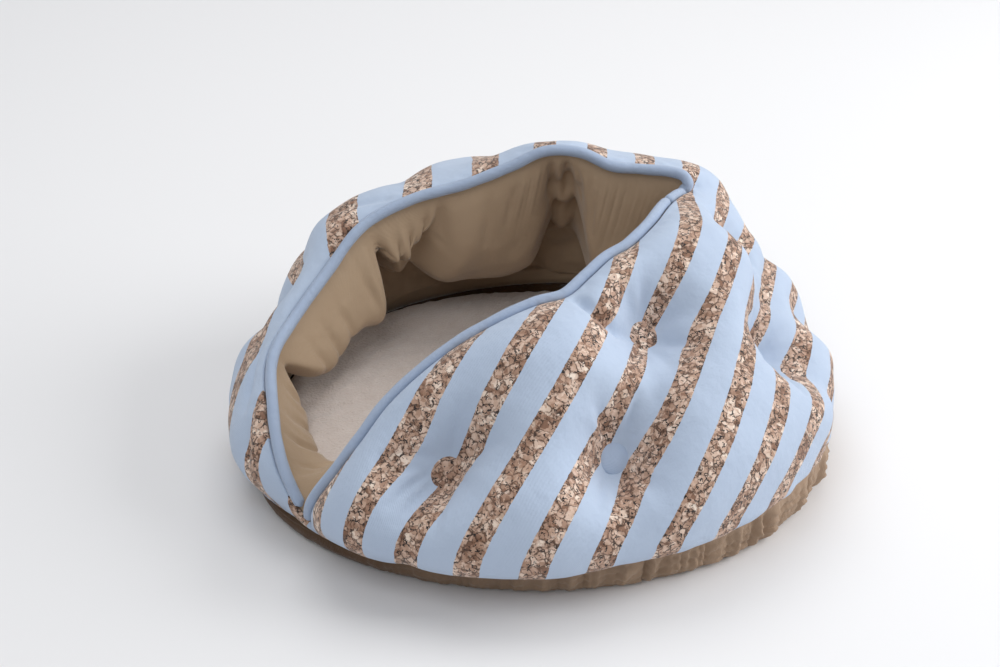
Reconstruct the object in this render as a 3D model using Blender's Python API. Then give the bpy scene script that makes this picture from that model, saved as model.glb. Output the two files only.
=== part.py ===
"""Enclosed bed for a small dog: a tufted, padded dome sewn round a soft floor.

The dome wall is laid out on a flat disc, as its cloth would be: distance 0 is the crown and
distance 1 is the seam round the floor.  The wall runs from a leaf-shaped mouth in that disc
out to the seam.  Its middle layer follows the dome, and the cover and the lining puff out
from it on either side, drawn in at the tufts, along the creases, at the lip and at the seam.
"""
import math

import bmesh
import bpy
import numpy as np
from mathutils import Matrix, Vector
from mathutils.bvhtree import BVHTree

# Driving dimensions, in metres
WIDE_RADIUS = 0.229       # middle layer of the wall, at its widest
WIDE_HEIGHT = 0.054
WIDE_SWING = 0.004        # the bed is a little wider along LONG_SIDE than across it
LONG_SIDE = math.radians(48)
SEAM_RADIUS = 0.216       # seam round the floor
SEAM_RADIUS_SWING = 0.009
SEAM_HEIGHT = 0.036
SEAM_SWING = 0.012        # the seam sits higher on the right than on the left
SEAM_HIGH_SIDE = math.radians(30)
CROWN_HEIGHT = 0.212      # middle layer at the crown
CROWN_FULLNESS = 1.60     # exponent of the crown's curve: 2 is an ellipse
FULLNESS_SWING = 0.30     # the left side is fuller than the right
CROWN_LEAN = (0.004, 0.045)
TUCK_ANGLE = math.radians(50)
CLOTH_RADIUS = 0.30       # length of wall from the crown to the seam

COVER_PUFF = 0.029        # filling under the cover, outside the middle layer
LINING_PUFF = 0.037       # filling under the lining, inside the middle layer
EDGE_HALF = 0.0040        # half the wall's thickness where it is sewn
SEAM_GAP = 0.0004         # cover and lining, each from the middle layer
TUFT_SPREAD = 0.034         # a tuft's hollow: its reach, and how round its floor is
TUFT_FLOOR = 2.4
TUFT_PULL = 0.005         # how far a tuft draws the middle layer in
CREASE_SPREAD = 0.013
COVER_LIP_ROLL = 0.020    # how fast each side fattens behind the lip
COVER_BACK_ROLL = 0.090   # the cover is flatter round the mouth's far corner and left lip
LINING_LIP_ROLL = 0.011
SEAM_ROLL = 0.026         # and above the seam
LIFT_REACH = 0.060        # how far behind the lip its lift dies away

PIPING_RADIUS = 0.0046
PIPING_CLEAR = 0.0009
PIPING_MEETING = 50       # hem angle at which the two lengths meet
PIPING_END_GAP = 0.0008
PIPING_WALL_END = 0.0015  # from a length's last end to the lip across the corner
BUTTON_RADIUS = 0.013
BUTTON_HALF_THICK = 0.0032
BUTTON_CLEAR = 0.0004
BUTTON_DROP = 0.080       # each button is lowered onto the cover from this far out

BASE_THICK = 0.016
BASE_REST_INSET = 0.010   # the flat underside ends this far inside the seam
BASE_BULGE = 0.0045
BASE_CLEAR = 0.0009
BASE_WALL = 0.006
PLEATS = 34
PLEAT_DEPTH = 0.0022
PLEAT_SIDE = math.radians(25)

MAT_INSET = 0.012         # the mat's edge inside the seam
MAT_FRONT_REACH = 0.005
MAT_BOTTOM = BASE_THICK + 0.0006
MAT_RIM = 0.020
MAT_CROWN = 0.046

COLUMNS = 88              # points round the wall
ROWS = 15                 # steps from the lip to the seam
EDGE_CROWDING = 0.08      # how much closer the steps lie at the lip and the seam
ROUND_POINTS = 64         # points round the base and the mat

# The lip of the mouth: the hem angle that each point faces, its place on the flat disc,
# and how far the lip stands up from the dome
LIP = (
    # angle, x, y, lift
    (-90, 0.000, -0.974, 0.000),
    (-82, 0.036, -0.930, 0.000),
    (-70, 0.072, -0.815, 0.000),
    (-55, 0.090, -0.680, 0.000),
    (-38, 0.135, -0.464, 0.000),
    (-20, 0.196, -0.264, 0.000),
    (0, 0.188, -0.095, 0.001),
    (25, 0.135, 0.080, 0.004),
    (50, 0.085, 0.238, 0.008),
    (75, 0.058, 0.335, 0.014),
    (92, 0.008, 0.374, 0.018),
    (108, -0.056, 0.325, 0.014),
    (125, -0.125, 0.255, 0.012),
    (145, -0.225, 0.150, 0.018),
    (160, -0.290, 0.085, 0.017),
    (176, -0.370, -0.020, 0.009),
    (192, -0.470, -0.130, 0.010),
    (207, -0.538, -0.272, 0.012),
    (220, -0.562, -0.416, 0.006),
    (230, -0.518, -0.578, 0.001),
    (247, -0.328, -0.742, 0.000),
    (262, -0.110, -0.915, 0.000),
)

# Tufts that pull the wall together: hem angle, distance from the crown, and the button's cloth
TUFTS = {
    # name: (angle, distance, cloth)
    "front_right": (-64, 0.74, "cork"),
    "right": (-25, 0.71, "blue"),
    "back_right": (31, 0.68, "blue"),
    "back": (82, 0.72, "blue"),
    "back_left": (132, 0.77, "blue"),
    "left": (168, 0.80, "cork"),
    "front_left": (-148, 0.80, "blue"),
    "upper_right": (-9, 0.42, "cork"),
    "upper_back": (60, 0.48, "cork"),
}

# Sides where wall and floor slump outward, and how far the seam drops there
SLUMPS = (
    # angle, reach in degrees, wall out, seam out, seam down
    (32, 42, 0.010, 0.018, 0.000),
    (-105, 32, 0.007, 0.010, 0.010),
)

# Where the wall sinks below the even dome, or swells above it
SAGS = (
    # angle, distance, reach on the disc, height
    (54, 0.58, 0.22, -0.012),
    (47, 0.72, 0.17, -0.015),
    (125, 0.52, 0.24, -0.006),
)

# Creases run from a tuft to another tuft, or to a place on the disc
CREASES = (
    # from, to (a tuft, or angle and distance), depth
    ("front_right", "right", 0.45),
    ("right", "upper_right", 0.60),
    ("upper_right", "back_right", 0.50),
    ("right", "back_right", 0.30),
    ("back_right", "upper_back", 0.50),
    ("upper_back", "back", 0.45),
    ("back_right", "back", 0.35),
    ("back", "back_left", 0.45),
    ("back_left", "left", 0.55),
    ("left", "front_left", 0.55),
    ("upper_right", (-30, 0.21), 0.55),
    ("upper_back", (80, 0.36), 0.80),
    ("front_right", (-83, 0.70), 0.25),
    ("front_left", (-125, 0.79), 0.55),
    ((-125, 0.79), (-116, 0.86), 0.55),
    ((-116, 0.86), (-108, 0.93), 0.45),
    ("left", (-165, 0.49), 0.60),
    ("back_left", (152, 0.30), 0.75),
    ("front_right", (-66, 1.0), 0.35),
    ("right", (-27, 1.0), 0.25),
    ("back_right", (35, 1.0), 0.40),
    ("back", (84, 1.0), 0.40),
    ("back_left", (133, 1.0), 0.40),
    ("left", (169, 1.0), 0.40),
    ("front_left", (-147, 1.0), 0.40),
)


def polar(angle_degrees, distance):
    """A place on the flat disc."""
    angle = math.radians(angle_degrees)
    return np.array((distance * math.cos(angle), distance * math.sin(angle)))


def slump(angle, column):
    """The slumps' sum at a hem angle, for one column of their table."""
    total = 0
    for row in SLUMPS:
        turned = (np.degrees(angle) - row[0] + 180) % 360 - 180
        total = total + row[column] * np.exp(-((turned / row[1]) ** 2))
    return total


def wide_radius(angle):
    return WIDE_RADIUS + WIDE_SWING * np.cos(2 * (angle - LONG_SIDE)) + slump(angle, 2)


def seam_radius(angle):
    return SEAM_RADIUS + SEAM_RADIUS_SWING * np.cos(2 * (angle - LONG_SIDE)) + slump(angle, 3)


def seam_height(angle):
    return SEAM_HEIGHT + SEAM_SWING * np.cos(angle - SEAM_HIGH_SIDE) - slump(angle, 4)


def dome_profile(angle, steps=72):
    """Radius and height of the middle layer from crown to seam, one row for each angle."""
    fullness = CROWN_FULLNESS - FULLNESS_SWING * np.cos(angle)[:, None]
    swing = np.linspace(0, math.pi / 2, steps)[None, :]
    power = 2 / fullness
    wide = wide_radius(angle)[:, None]
    crown_r = wide * np.sin(swing) ** power
    crown_z = WIDE_HEIGHT + (CROWN_HEIGHT - WIDE_HEIGHT) * np.clip(np.cos(swing), 0, 1) ** power
    tuck = np.linspace(0, TUCK_ANGLE, steps // 3)[None, 1:]
    inward = (1 - np.cos(tuck)) / (1 - math.cos(TUCK_ANGLE))
    down = np.sin(tuck) / math.sin(TUCK_ANGLE)
    tuck_r = wide - (wide - seam_radius(angle)[:, None]) * inward
    tuck_z = WIDE_HEIGHT - (WIDE_HEIGHT - seam_height(angle)[:, None]) * down
    return np.hstack((crown_r, tuck_r)), np.hstack((crown_z, tuck_z))


def dome_point(flat):
    """Where a place on the flat disc lies on the dome."""
    distance = np.clip(np.hypot(flat[:, 0], flat[:, 1]), 0, 1)
    angle = np.arctan2(flat[:, 1], flat[:, 0])
    radius, height = dome_profile(angle)
    step = np.hypot(np.diff(radius, axis=1), np.diff(height, axis=1))
    along = np.hstack((np.zeros((len(flat), 1)), np.cumsum(step, axis=1)))
    along /= along[:, -1:]
    found = [
        (np.interp(d, a, r), np.interp(d, a, z))
        for d, a, r, z in zip(distance, along, radius, height)
    ]
    r, z = np.array(found).T
    rise = np.clip((z - WIDE_HEIGHT) / (CROWN_HEIGHT - WIDE_HEIGHT), 0, 1)
    rise = rise * rise * (3 - 2 * rise)
    x = r * np.cos(angle) + CROWN_LEAN[0] * rise
    y = r * np.sin(angle) + CROWN_LEAN[1] * rise
    return np.stack((x, y, z), axis=1)


def dome_normal(flat, nudge=0.006):
    across = dome_point(flat + (nudge, 0)) - dome_point(flat - (nudge, 0))
    along = dome_point(flat + (0, nudge)) - dome_point(flat - (0, nudge))
    normal = np.cross(across, along)
    return normal / np.linalg.norm(normal, axis=1)[:, None]


def lip_at(angle):
    """The lip's place on the disc and its lift, smooth through the table, all round."""
    table = np.array(LIP, dtype=float)
    turn = np.vstack((table[-2:] - (360, 0, 0, 0), table, table[:3] + (360, 0, 0, 0)))
    knots = turn[:, 0]
    slope = (turn[2:] - turn[:-2])[:, 1:] / (turn[2:] - turn[:-2])[:, :1]
    slope = np.vstack((slope[:1], slope, slope[-1:]))
    found = np.clip(np.searchsorted(knots, angle, side="right") - 1, 1, len(knots) - 3)
    span = knots[found + 1] - knots[found]
    u = ((angle - knots[found]) / span)[:, None]
    start = turn[found, 1:]
    end = turn[found + 1, 1:]
    leave = slope[found] * span[:, None]
    arrive = slope[found + 1] * span[:, None]
    bend = u * u * (3 - 2 * u)
    return (
        start * (1 - bend)
        + end * bend
        + leave * u * (1 - u) ** 2
        - arrive * u * u * (1 - u)
    )


def tuft_place(key):
    if isinstance(key, str):
        return polar(TUFTS[key][0], TUFTS[key][1])
    return polar(*key)


def puffiness(flat):
    """How full the wall is, from 0 at a tuft to 1 on the crown of a puff."""
    full = np.ones(len(flat))
    for name in TUFTS:
        reach = np.linalg.norm(flat - tuft_place(name), axis=1) * CLOTH_RADIUS
        full *= 1 - np.exp(-((reach / TUFT_SPREAD) ** TUFT_FLOOR))
    for start_key, end_key, depth in CREASES:
        start = tuft_place(start_key)
        run = tuft_place(end_key) - start
        share = np.clip((flat - start) @ run / (run @ run), 0, 1)
        reach = np.linalg.norm(flat - start - share[:, None] * run, axis=1) * CLOTH_RADIUS
        full *= 1 - depth * np.exp(-((reach / CREASE_SPREAD) ** 2))
    return full


def wall_layers():
    """Rings of the wall from lip to seam: middle layer, normals, cover and lining fullness."""
    angle = np.linspace(-90, 270, COLUMNS, endpoint=False)
    lip = lip_at(angle)
    lip_flat = lip[:, :2]
    lift = lip[:, 2]
    hem_flat = np.stack((np.cos(np.radians(angle)), np.sin(np.radians(angle))), axis=1)
    share = np.linspace(0, 1, ROWS + 1)
    share = share - EDGE_CROWDING * np.sin(2 * math.pi * share)
    flat = lip_flat + (hem_flat - lip_flat) * share[:, None, None]
    for name in TUFTS:
        reach = np.linalg.norm(flat[1:-1] - tuft_place(name), axis=2)
        row, column = np.unravel_index(np.argmin(reach), reach.shape)
        flat[row + 1, column] = tuft_place(name)
    from_lip = np.linalg.norm(flat - lip_flat, axis=2) * CLOTH_RADIUS
    from_seam = np.linalg.norm(flat - hem_flat, axis=2) * CLOTH_RADIUS
    places = flat.reshape(-1, 2)
    normal = dome_normal(places * 0.999).reshape(*flat.shape[:2], 3)
    raised = lift * np.exp(-((from_lip / LIFT_REACH) ** 2))
    for name in TUFTS:
        reach = np.linalg.norm(flat - tuft_place(name), axis=2) * CLOTH_RADIUS
        raised -= TUFT_PULL * np.exp(-((reach / TUFT_SPREAD) ** 2))
    for angle_degrees, distance, reach_out, height in SAGS:
        reach = np.linalg.norm(flat - polar(angle_degrees, distance), axis=2)
        raised += height * np.exp(-((reach / reach_out) ** 2))
    middle = dome_point(places).reshape(normal.shape) + normal * raised[:, :, None]
    full = puffiness(places).reshape(from_lip.shape)
    full *= 1 - np.exp(-((from_seam / SEAM_ROLL) ** 1.5))
    backward = np.interp(lip_flat[:, 1] - lip_flat[:, 0], (0.0, 0.3), (0, 1))
    cover_roll = COVER_LIP_ROLL + (COVER_BACK_ROLL - COVER_LIP_ROLL) * backward
    cover_full = full * (1 - np.exp(-from_lip / cover_roll))
    lining_full = full * (1 - np.exp(-from_lip / LINING_LIP_ROLL))
    return middle, normal, cover_full, lining_full


def loft(name, rings, colour, roughness, caps):
    """A closed solid through the rings: capped at both ends, or joined end to end."""
    build = bmesh.new()
    rows = [[build.verts.new(point) for point in ring] for ring in rings]
    pairs = list(zip(rows[:-1], rows[1:]))
    if not caps:
        pairs.append((rows[-1], rows[0]))
    for low, high in pairs:
        for column in range(len(low)):
            after = (column + 1) % len(low)
            build.faces.new((low[column], low[after], high[after], high[column]))
    if caps:
        build.faces.new(list(reversed(rows[0])))
        build.faces.new(rows[-1])
    bmesh.ops.recalc_face_normals(build, faces=build.faces)
    mesh = bpy.data.meshes.new(name)
    build.to_mesh(mesh)
    build.free()
    return finish(name, mesh, colour, roughness)


def finish(name, mesh, colour, roughness):
    """Puts a mesh in the bed's collection with its own material, shaded smooth."""
    mesh.shade_smooth()
    mesh.set_sharp_from_angle(angle=math.radians(50))
    material = bpy.data.materials.new(name)
    material.use_nodes = True
    shader = material.node_tree.nodes["Principled BSDF"]
    shader.inputs["Base Color"].default_value = (*colour, 1)
    shader.inputs["Roughness"].default_value = roughness
    shader.inputs["Metallic"].default_value = 0
    mesh.materials.append(material)
    obj = bpy.data.objects.new(name, mesh)
    bed.objects.link(obj)
    return obj


# Cloths: colour and roughness
PRINT = ((0.42, 0.45, 0.52), 0.85)
SKY = ((0.36, 0.49, 0.70), 0.80)
CORK = ((0.35, 0.24, 0.16), 0.85)
KHAKI = ((0.24, 0.19, 0.12), 0.65)
BROWN = ((0.17, 0.11, 0.06), 0.80)
PLUSH = ((0.62, 0.54, 0.48), 0.95)

for old in list(bpy.data.objects):
    bpy.data.objects.remove(old)
bed = bpy.data.collections.new("enclosed_dog_bed")
bpy.context.scene.collection.children.link(bed)

# Wall: the striped cover outside the middle layer, the lining inside it
middle, normals, cover_full, lining_full = wall_layers()
outer = EDGE_HALF + (COVER_PUFF - EDGE_HALF) * cover_full
inner = EDGE_HALF + (LINING_PUFF - EDGE_HALF) * lining_full
cover_face = middle + normals * outer[:, :, None]
cover_back = middle + normals * SEAM_GAP
lining_face = middle - normals * inner[:, :, None]
lining_back = middle - normals * SEAM_GAP
cover = loft("cover", np.concatenate((cover_face, cover_back[::-1])), *PRINT, caps=False)
loft("lining", np.concatenate((lining_face, lining_back[::-1])), *KHAKI, caps=False)

# Piping: a covered cord round the lip, in two lengths that meet at the mouth's corners
lip_run = np.roll(middle[0], -1, axis=0) - np.roll(middle[0], 1, axis=0)
toward_mouth = np.cross(normals[0], lip_run)
toward_mouth /= np.linalg.norm(toward_mouth, axis=1)[:, None]
piping_line = middle[0] + toward_mouth * (PIPING_RADIUS + PIPING_CLEAR)
meeting = round((PIPING_MEETING + 90) / 360 * COLUMNS)
right_line = piping_line[: meeting + 1].copy()
left_line = piping_line[meeting:].copy()
back_off = left_line[1] - left_line[0]
left_line[0] += back_off * PIPING_END_GAP / np.linalg.norm(back_off)


def distance_to_line(point, line):
    run = line[1:] - line[:-1]
    share = np.einsum("ij,ij->i", point - line[:-1], run) / np.einsum("ij,ij->i", run, run)
    foot = line[:-1] + np.clip(share, 0, 1)[:, None] * run
    return np.linalg.norm(foot - point, axis=1).min()


def cut_back(line, obstacle, clearance):
    """Shortens a line's last end until it is clear of the obstacle, to a millimetre."""
    while distance_to_line(line[-1], obstacle) < clearance:
        run = line[-1] - line[-2]
        length = np.linalg.norm(run)
        if length < 0.0015:
            line = line[:-1]
        else:
            line[-1] = line[-1] - run / length * 0.001
    return line


right_line = right_line[::-1].copy()
wall_end = PIPING_RADIUS + PIPING_WALL_END
right_line = cut_back(right_line, middle[0][-12:], wall_end)
left_line = cut_back(left_line, middle[0][:12], wall_end)
left_line = cut_back(left_line, right_line, 2 * PIPING_RADIUS + PIPING_CLEAR)


def piping(name, line):
    curve = bpy.data.curves.new(name, "CURVE")
    curve.dimensions = "3D"
    curve.bevel_depth = PIPING_RADIUS
    curve.bevel_resolution = 2
    curve.use_fill_caps = True
    spline = curve.splines.new("POLY")
    spline.points.add(len(line) - 1)
    for point, place in zip(spline.points, line):
        point.co = (*place, 1)
    guide = bpy.data.objects.new(name + "_line", curve)
    bed.objects.link(guide)
    drawn = guide.evaluated_get(bpy.context.evaluated_depsgraph_get())
    mesh = bpy.data.meshes.new_from_object(drawn)
    build = bmesh.new()
    build.from_mesh(mesh)
    bmesh.ops.remove_doubles(build, verts=build.verts, dist=0.00005)
    bmesh.ops.recalc_face_normals(build, faces=build.faces)
    build.to_mesh(mesh)
    build.free()
    bpy.data.objects.remove(guide)
    mesh.materials.clear()
    finish(name, mesh, *SKY)


piping("piping_right", right_line)
piping("piping_left", left_line)

# Buttons: a covered button in each tuft, seated on the cover under it
skin = bmesh.new()
skin.from_mesh(cover.data)
skin_tree = BVHTree.FromBMesh(skin)
for tuft, (angle, distance, cloth) in TUFTS.items():
    flat = polar(angle, distance)[None, :]
    place = Vector(dome_point(flat)[0])
    outward = Vector(dome_normal(flat)[0])
    turn = outward.to_track_quat("Z", "Y").to_matrix().to_4x4()
    button_mesh = bpy.data.meshes.new("button_" + tuft)
    build = bmesh.new()
    bmesh.ops.create_uvsphere(build, u_segments=16, v_segments=8, radius=BUTTON_RADIUS)
    flatten = Matrix.Diagonal((1, 1, BUTTON_HALF_THICK / BUTTON_RADIUS, 1))
    build.transform(Matrix.Translation(place) @ turn @ flatten)
    rises = []
    for vert in build.verts:
        hit = skin_tree.ray_cast(vert.co + outward * BUTTON_DROP, -outward)[0]
        if hit is not None:
            rises.append((hit - vert.co).dot(outward))
    rise = max(rises)
    build.transform(Matrix.Translation(outward * (rise + BUTTON_CLEAR)))
    build.to_mesh(button_mesh)
    build.free()
    finish("button_" + tuft, button_mesh, *(SKY if cloth == "blue" else CORK))
skin.free()

# Base: the filled floor, flat below, sewn up to the wall's seam, pleated on one side
round_angle = np.linspace(-math.pi, math.pi, ROUND_POINTS, endpoint=False)
around = np.stack((np.cos(round_angle), np.sin(round_angle)), axis=1)
seam_z = seam_height(round_angle)
seam_r = seam_radius(round_angle)
tuck_in = wide_radius(round_angle) - seam_r
tangent_r = tuck_in * math.sin(TUCK_ANGLE) / (1 - math.cos(TUCK_ANGLE))
tangent_z = (WIDE_HEIGHT - seam_z) * math.cos(TUCK_ANGLE) / math.sin(TUCK_ANGLE)
size = np.hypot(tangent_r, tangent_z)
in_r = -tangent_r / size
in_z = -tangent_z / size
pleat_share = 0.5 + 0.5 * np.cos(round_angle - PLEAT_SIDE)
pleat = PLEAT_DEPTH * pleat_share * np.cos(PLEATS * round_angle)


def ring(radius, height):
    radius = radius * np.ones(ROUND_POINTS)
    height = height * np.ones(ROUND_POINTS)
    return np.column_stack((around * radius[:, None], height))


seat_r = seam_r + in_r * BASE_CLEAR
seat_z = seam_z + in_z * BASE_CLEAR
base_rings = (
    ring(seam_r - BASE_REST_INSET, 0),
    ring(seam_r + pleat / 2, 0.15 * seam_z),
    ring(seam_r + BASE_BULGE + pleat, 0.50 * seam_z),
    ring(seat_r - in_z * EDGE_HALF, seat_z + in_r * EDGE_HALF),
    ring(seat_r + in_z * EDGE_HALF, seat_z - in_r * EDGE_HALF),
    ring(seam_r - BASE_WALL, BASE_THICK),
)
loft("base", base_rings, *BROWN, caps=True)

# Mat: a plush cushion that fills the floor, crowned, with a round edge
front_reach = MAT_FRONT_REACH * np.exp(-(((round_angle + math.pi / 2) / 0.45) ** 2))
mat_r = seam_r - MAT_INSET + front_reach
mat_rings = [ring(mat_r * 0.96, MAT_BOTTOM)]
for step in range(1, 4):
    bend = math.pi * step / 4
    mat_rings.append(ring(mat_r - 0.008 + 0.008 * math.sin(bend),
                          MAT_BOTTOM + MAT_RIM * (1 - math.cos(bend)) / 2))
for share in (0.86, 0.62, 0.34, 0.10):
    dome = MAT_BOTTOM + MAT_RIM + (MAT_CROWN - MAT_BOTTOM - MAT_RIM) * (1 - share ** 3)
    mat_rings.append(ring(mat_r * share, dome))
loft("mat", mat_rings, *PLUSH, caps=True)
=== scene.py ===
"""Enclosed bed for a small dog, dressed: a tufted dome of striped cotton over a khaki lining,
blue piping round its mouth, covered buttons, a gathered brown base and a plush mat."""
import math

import bmesh
import bpy
import numpy as np
from mathutils import Matrix, Vector
from mathutils.bvhtree import BVHTree


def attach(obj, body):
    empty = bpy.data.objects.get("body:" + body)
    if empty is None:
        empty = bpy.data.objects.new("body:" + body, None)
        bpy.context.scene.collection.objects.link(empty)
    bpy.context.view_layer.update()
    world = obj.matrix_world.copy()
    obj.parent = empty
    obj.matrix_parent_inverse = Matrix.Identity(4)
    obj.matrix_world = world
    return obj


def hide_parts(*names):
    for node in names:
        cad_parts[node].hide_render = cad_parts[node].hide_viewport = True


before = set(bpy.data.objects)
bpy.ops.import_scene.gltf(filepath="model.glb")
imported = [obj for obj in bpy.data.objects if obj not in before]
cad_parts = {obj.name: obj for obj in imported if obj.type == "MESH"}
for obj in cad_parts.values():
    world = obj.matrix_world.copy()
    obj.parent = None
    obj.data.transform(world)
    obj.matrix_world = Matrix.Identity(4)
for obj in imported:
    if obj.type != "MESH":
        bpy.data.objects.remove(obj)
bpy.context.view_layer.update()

# Cover: the striped outer cloth of the wall.  It is cut from a flat round of printed cotton,
# stuffed behind, and pulled in by buttons sewn through the wall.  Here 0 is the crown of
# that round and 1 its hem, and every place on the cloth keeps its own spot on the dome.
WIDE_RADIUS = 0.229
WIDE_HEIGHT = 0.054
WIDE_SWING = 0.004
LONG_SIDE = math.radians(48)
SEAM_RADIUS = 0.216
SEAM_RADIUS_SWING = 0.009
SEAM_HEIGHT = 0.036
SEAM_SWING = 0.012
SEAM_HIGH_SIDE = math.radians(30)
CROWN_HEIGHT = 0.212
CROWN_FULLNESS = 1.60
FULLNESS_SWING = 0.30
CROWN_LEAN = (0.004, 0.045)
TUCK_ANGLE = math.radians(50)
CLOTH_RADIUS = 0.30
LIFT_REACH = 0.060
EDGE_HALF = 0.0040
SEAM_GAP = 0.0004

LIP = (
    # hem angle in degrees, place on the round, lift
    (-90, 0.000, -0.974, 0.000),
    (-82, 0.044, -0.913, 0.000),
    (-72, 0.083, -0.822, 0.000),
    (-62, 0.093, -0.734, 0.000),
    (-52, 0.087, -0.631, 0.000),
    (-42, 0.109, -0.499, 0.000),
    (-33, 0.146, -0.390, 0.000),
    (-25, 0.184, -0.299, 0.000),
    (-17, 0.222, -0.225, 0.000),
    (-8, 0.216, -0.140, 0.000),
    (2, 0.206, -0.065, 0.001),
    (14, 0.206, 0.020, 0.003),
    (28, 0.169, 0.127, 0.004),
    (45, 0.110, 0.239, 0.007),
    (62, 0.075, 0.318, 0.011),
    (78, 0.049, 0.378, 0.015),
    (92, 0.021, 0.371, 0.025),
    (106, -0.021, 0.345, 0.023),
    (120, -0.073, 0.299, 0.017),
    (133, -0.131, 0.243, 0.013),
    (145, -0.190, 0.187, 0.020),
    (157, -0.249, 0.125, 0.020),
    (170, -0.309, 0.052, 0.009),
    (183, -0.378, -0.039, 0.004),
    (196, -0.447, -0.140, 0.009),
    (208, -0.493, -0.255, 0.011),
    (219, -0.499, -0.380, 0.003),
    (229, -0.463, -0.512, 0.000),
    (240, -0.383, -0.638, 0.004),
    (252, -0.255, -0.755, 0.000),
    (262, -0.120, -0.882, -0.004),
)
SLUMPS = (
    # angle, reach in degrees, wall out, seam out, seam down
    (32, 42, 0.010, 0.018, 0.000),
    (-105, 32, 0.007, 0.010, 0.010),
)
SAGS = (
    # angle, distance, reach on the round, height
    (54, 0.58, 0.22, -0.006),
    (47, 0.72, 0.17, -0.011),
    (125, 0.52, 0.24, -0.006),
)
TUFTS = {
    # name: (angle, distance, the button's cloth, how hard it is drawn in)
    "front_right": (-64, 0.74, "cork", 1.0),
    "right": (-25, 0.71, "blue", 1.0),
    "back_right": (31, 0.68, "blue", 1.0),
    "back": (82, 0.72, "blue", 1.0),
    "back_left": (132, 0.77, "blue", 1.0),
    "left": (168, 0.80, "cork", 1.0),
    "front_left": (-148, 0.80, "blue", 1.0),
    "upper_right": (-9, 0.42, "cork", 1.0),
    "upper_back": (60, 0.48, "cork", 0.5),
}
TUFT_PULL = 0.020         # how far a tuft draws in the middle of the wall
TUFT_PULL_REACH = 0.034
TUFT_FLAT = 0.011         # the cloth is flat this far from the button's centre
TUFT_VALLEY = 0.35        # a tuft's hollow is a steep pit in a broad valley, and so is a crease
TUFT_VALLEY_WIDTH = 2.0
CREASE_VALLEY = 0.45


def polar(angle_degrees, distance):
    angle = math.radians(angle_degrees)
    return np.array((distance * math.cos(angle), distance * math.sin(angle)))


def slump(angle, column):
    total = 0
    for row in SLUMPS:
        turned = (np.degrees(angle) - row[0] + 180) % 360 - 180
        total = total + row[column] * np.exp(-((turned / row[1]) ** 2))
    return total


def wide_radius(angle):
    return WIDE_RADIUS + WIDE_SWING * np.cos(2 * (angle - LONG_SIDE)) + slump(angle, 2)


def seam_radius(angle):
    return SEAM_RADIUS + SEAM_RADIUS_SWING * np.cos(2 * (angle - LONG_SIDE)) + slump(angle, 3)


def seam_height(angle):
    return SEAM_HEIGHT + SEAM_SWING * np.cos(angle - SEAM_HIGH_SIDE) - slump(angle, 4)


def dome_profile(angle, steps=144):
    """Radius and height of the wall's middle from crown to seam, one row for each angle."""
    fullness = CROWN_FULLNESS - FULLNESS_SWING * np.cos(angle)[:, None]
    swing = np.linspace(0, math.pi / 2, steps)[None, :]
    power = 2 / fullness
    wide = wide_radius(angle)[:, None]
    crown_r = wide * np.sin(swing) ** power
    crown_z = WIDE_HEIGHT + (CROWN_HEIGHT - WIDE_HEIGHT) * np.clip(np.cos(swing), 0, 1) ** power
    tuck = np.linspace(0, TUCK_ANGLE, steps // 3)[None, 1:]
    inward = (1 - np.cos(tuck)) / (1 - math.cos(TUCK_ANGLE))
    down = np.sin(tuck) / math.sin(TUCK_ANGLE)
    tuck_r = wide - (wide - seam_radius(angle)[:, None]) * inward
    tuck_z = WIDE_HEIGHT - (WIDE_HEIGHT - seam_height(angle)[:, None]) * down
    return np.hstack((crown_r, tuck_r)), np.hstack((crown_z, tuck_z))


PROFILE_TURNS = 360
PROFILE_STEPS = 600


def profile_table():
    """The dome's radius and height at even steps of cloth, for even steps of hem angle."""
    turn = np.linspace(-math.pi, math.pi, PROFILE_TURNS + 1)
    radius, height = dome_profile(turn)
    step = np.hypot(np.diff(radius, axis=1), np.diff(height, axis=1))
    along = np.hstack((np.zeros((len(turn), 1)), np.cumsum(step, axis=1)))
    along /= along[:, -1:]
    even = np.linspace(0, 1, PROFILE_STEPS + 1)
    radii = [np.interp(even, a, r) for a, r in zip(along, radius)]
    heights = [np.interp(even, a, z) for a, z in zip(along, height)]
    return np.stack((radii, heights), axis=2)


dome_table = profile_table()


def dome_point(flat):
    """Where a place on the flat round lies on the dome."""
    distance = np.clip(np.hypot(flat[:, 0], flat[:, 1]), 0, 1)
    angle = np.arctan2(flat[:, 1], flat[:, 0])
    turn = (angle + math.pi) / (2 * math.pi) * PROFILE_TURNS
    step = distance * PROFILE_STEPS
    turn_low = np.clip(turn.astype(int), 0, PROFILE_TURNS - 1)
    step_low = np.clip(step.astype(int), 0, PROFILE_STEPS - 1)
    turn_part = (turn - turn_low)[:, None]
    step_part = (step - step_low)[:, None]
    near, far = (
        dome_table[row, step_low] * (1 - step_part) + dome_table[row, step_low + 1] * step_part
        for row in (turn_low, turn_low + 1)
    )
    r, z = (near * (1 - turn_part) + far * turn_part).T
    rise = np.clip((z - WIDE_HEIGHT) / (CROWN_HEIGHT - WIDE_HEIGHT), 0, 1)
    rise = rise * rise * (3 - 2 * rise)
    x = r * np.cos(angle) + CROWN_LEAN[0] * rise
    y = r * np.sin(angle) + CROWN_LEAN[1] * rise
    return np.stack((x, y, z), axis=1)


def unit(vectors):
    return vectors / np.linalg.norm(vectors, axis=-1, keepdims=True)


def dome_normal(flat, nudge=0.006):
    across = dome_point(flat + (nudge, 0)) - dome_point(flat - (nudge, 0))
    along = dome_point(flat + (0, nudge)) - dome_point(flat - (0, nudge))
    return unit(np.cross(across, along))


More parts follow.
